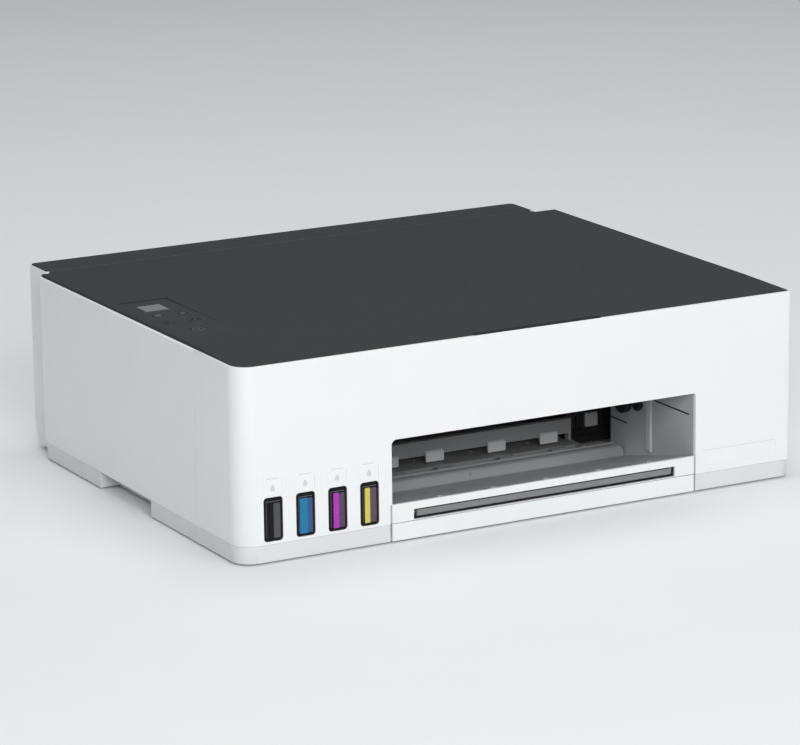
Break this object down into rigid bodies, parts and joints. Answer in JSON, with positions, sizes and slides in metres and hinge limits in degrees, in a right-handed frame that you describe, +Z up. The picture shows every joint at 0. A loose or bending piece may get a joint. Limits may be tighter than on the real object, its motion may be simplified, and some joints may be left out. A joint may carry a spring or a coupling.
{
  "type": "inkjet printer",
  "caption": "Compact A4 ink-tank inkjet printer with front output bay, tank windows, lifting top cover with buttons, rear paper feeder and a full print mechanism.",
  "frame": {"origin": "centre of the footprint, at the underside of the rubber feet", "axes": "+X to the right seen from the front, +Y from the front to the back, +Z up"},
  "size_m": [0.4386, 0.3614, 0.1378],
  "materials": {
    "white_shell": "fine moulded texture, off-white",
    "grey_base": "fine moulded texture, light grey",
    "dark_cover": "fine grained, charcoal",
    "panel_film": "smooth film, charcoal",
    "display": "glossy grey window",
    "button": "glossy black",
    "bay_grey": "mid grey, satin",
    "light_grey": "light grey, satin",
    "black_plastic": "black, satin",
    "print_head": "black, glossy",
    "steel": "zinc-plated sheet",
    "chrome_rod": "ground and polished",
    "screw_steel": "zinc plated",
    "motor_can": "plated can",
    "brass_gear": "machined",
    "board": "green lacquer",
    "socket_metal": "plated shell",
    "belt_rubber": "toothed belt",
    "foot_rubber": "soft pads",
    "roller_grey": "grit-coated shaft",
    "roller_rubber": "rubber tyres on a shaft",
    "tubing": "translucent tubing",
    "tank_black": "smoky translucent",
    "tank_cyan": "smoky translucent, blue ink",
    "tank_magenta": "smoky translucent, magenta ink",
    "tank_yellow": "smoky translucent, yellow ink",
    "cap_black": "satin",
    "cap_cyan": "satin",
    "cap_magenta": "satin",
    "cap_yellow": "satin"
  },
  "bodies": {
    "chassis": {"base_tray": "grey_base", "carriage_motor": "motor_can", "carriage_rail": "steel", "drive_belt": "belt_rubber", "exit_bar": "light_grey", "exit_beam": "bay_grey", "feed_motor": "motor_can", "feet": "foot_rubber", "front_cover": "white_shell", "guide_rod": "chrome_rod", "hinge_pins": "chrome_rod", "ink_tubes": "tubing", "left_frame": "steel", "left_side_panel": "white_shell", "main_board": "board", "output_bay": "bay_grey", "output_floor": "bay_grey", "output_tray_front": "white_shell", "paper_ramp": "black_plastic", "paper_tabs": "light_grey", "platen": "black_plastic", "power_inlet": "black_plastic", "power_supply": "black_plastic", "rear_housing": "white_shell", "right_frame": "steel", "right_side_panel": "white_shell", "screws": "screw_steel", "tank_black": "tank_black", "tank_cyan": "tank_cyan", "tank_magenta": "tank_magenta", "tank_yellow": "tank_yellow", "tube_clip": "black_plastic", "usb_socket": "socket_metal"},
    "cover": {"top_cover": "dark_cover", "control_panel": "panel_film", "display_window": "display"},
    "rear_tray": {"rear_tray": "dark_cover"},
    "left_paper_guide": {"left_paper_guide": "black_plastic"},
    "right_paper_guide": {"right_paper_guide": "black_plastic"},
    "guide_pinion": {"guide_pinion": "black_plastic"},
    "output_extender": {"output_extender": "light_grey"},
    "carriage": {"carriage": "black_plastic", "carriage_lid": "black_plastic", "print_heads": "print_head"},
    "motor_pulley": {"motor_pulley": "brass_gear"},
    "idler_pulley": {"idler_pulley": "black_plastic"},
    "service_sled": {"service_sled": "black_plastic"},
    "feed_roller": {"feed_roller": "roller_grey"},
    "feed_pinion": {"feed_pinion": "brass_gear"},
    "exit_roller": {"exit_roller": "roller_rubber"},
    "pickup_roller": {"pickup_roller": "roller_rubber"},
    "power_button": {"power_button": "button"},
    "cancel_button": {"cancel_button": "button"},
    "paper_button": {"paper_button": "button"},
    "network_button": {"network_button": "button"},
    "copy_button": {"copy_button": "button"},
    "cap_black": {"cap_black": "cap_black"},
    "cap_cyan": {"cap_cyan": "cap_cyan"},
    "cap_magenta": {"cap_magenta": "cap_magenta"},
    "cap_yellow": {"cap_yellow": "cap_yellow"}
  },
  "joints": [
    {"name": "cover_hinge", "type": "hinge", "parent": "chassis", "child": "cover", "pos_m": [-0.00485, 0.14495, 0.1338], "axis": [-1, 0, 0], "range_deg": [0, 65]},
    {"name": "power_button_press", "type": "slide", "parent": "cover", "child": "power_button", "axis": [0, 0, -1], "range_m": [0, 0.0008], "stiffness_N_per_m": 250},
    {"name": "cancel_button_press", "type": "slide", "parent": "cover", "child": "cancel_button", "axis": [0, 0, -1], "range_m": [0, 0.0008], "stiffness_N_per_m": 250},
    {"name": "paper_button_press", "type": "slide", "parent": "cover", "child": "paper_button", "axis": [0, 0, -1], "range_m": [0, 0.0008], "stiffness_N_per_m": 250},
    {"name": "network_button_press", "type": "slide", "parent": "cover", "child": "network_button", "axis": [0, 0, -1], "range_m": [0, 0.0008], "stiffness_N_per_m": 250},
    {"name": "copy_button_press", "type": "slide", "parent": "cover", "child": "copy_button", "axis": [0, 0, -1], "range_m": [0, 0.0008], "stiffness_N_per_m": 250},
    {"name": "rear_tray_lift", "type": "slide", "parent": "chassis", "child": "rear_tray", "axis": [0, 0, 1], "range_m": [0, 0.095]},
    {"name": "left_guide_slide", "type": "slide", "parent": "rear_tray", "child": "left_paper_guide", "axis": [1, 0, 0], "range_m": [0, 0.052]},
    {"name": "right_guide_slide", "type": "slide", "parent": "rear_tray", "child": "right_paper_guide", "axis": [1, 0, 0], "range_m": [-0.052, 0]},
    {"name": "guide_pinion_spin", "type": "hinge", "parent": "rear_tray", "child": "guide_pinion", "pos_m": [0.017, 0.16965, 0.09], "axis": [0, 1, 0], "range_deg": [0, 497]},
    {"name": "extender_slide", "type": "slide", "parent": "chassis", "child": "output_extender", "axis": [0, -0.9752, 0.2212], "range_m": [0, 0.044]},
    {"name": "carriage_slide", "type": "slide", "parent": "chassis", "child": "carriage", "axis": [1, 0, 0], "range_m": [-0.3, 0]},
    {"name": "motor_pulley_spin", "type": "hinge", "parent": "chassis", "child": "motor_pulley", "pos_m": [0.194, 0.00765, 0.075], "axis": [0, 1, 0], "range_deg": [0, 2900]},
    {"name": "idler_pulley_spin", "type": "hinge", "parent": "chassis", "child": "idler_pulley", "pos_m": [-0.196, 0.00765, 0.075], "axis": [0, 1, 0], "range_deg": [0, 2900]},
    {"name": "service_sled_lift", "type": "slide", "parent": "chassis", "child": "service_sled", "axis": [0, 0, 1], "range_m": [-0.003, 0]},
    {"name": "feed_roller_spin", "type": "hinge", "parent": "chassis", "child": "feed_roller", "pos_m": [0.017, 0.01525, 0.0235], "axis": [1, 0, 0], "continuous": true},
    {"name": "feed_pinion_spin", "type": "hinge", "parent": "chassis", "child": "feed_pinion", "pos_m": [-0.1975, 0.02682, 0.03729], "axis": [1, 0, 0], "continuous": true},
    {"name": "exit_roller_spin", "type": "hinge", "parent": "chassis", "child": "exit_roller", "pos_m": [0.002, -0.07475, 0.011], "axis": [1, 0, 0], "continuous": true},
    {"name": "pickup_roller_spin", "type": "hinge", "parent": "chassis", "child": "pickup_roller", "pos_m": [0.017, 0.14295, 0.0373], "axis": [1, 0, 0], "continuous": true},
    {"name": "cap_black_hinge", "type": "hinge", "parent": "chassis", "child": "cap_black", "pos_m": [-0.19415, -0.13475, 0.097], "axis": [-1, 0, 0], "range_deg": [0, 110]},
    {"name": "cap_cyan_hinge", "type": "hinge", "parent": "chassis", "child": "cap_cyan", "pos_m": [-0.16995, -0.13475, 0.097], "axis": [-1, 0, 0], "range_deg": [0, 110]},
    {"name": "cap_magenta_hinge", "type": "hinge", "parent": "chassis", "child": "cap_magenta", "pos_m": [-0.14575, -0.13475, 0.097], "axis": [-1, 0, 0], "range_deg": [0, 110]},
    {"name": "cap_yellow_hinge", "type": "hinge", "parent": "chassis", "child": "cap_yellow", "pos_m": [-0.12155, -0.13475, 0.097], "axis": [-1, 0, 0], "range_deg": [0, 110]}
  ],
  "couplings": [
    {"joint": "right_guide_slide", "follows": "left_guide_slide", "ratio": -1},
    {"joint": "guide_pinion_spin", "follows": "left_guide_slide", "rad_per_m": 166.67},
    {"joint": "feed_pinion_spin", "follows": "feed_roller_spin", "ratio": -2},
    {"joint": "exit_roller_spin", "follows": "feed_roller_spin", "ratio": -2},
    {"joint": "motor_pulley_spin", "follows": "carriage_slide", "rad_per_m": -166.67},
    {"joint": "idler_pulley_spin", "follows": "carriage_slide", "rad_per_m": -166.67}
  ]
}
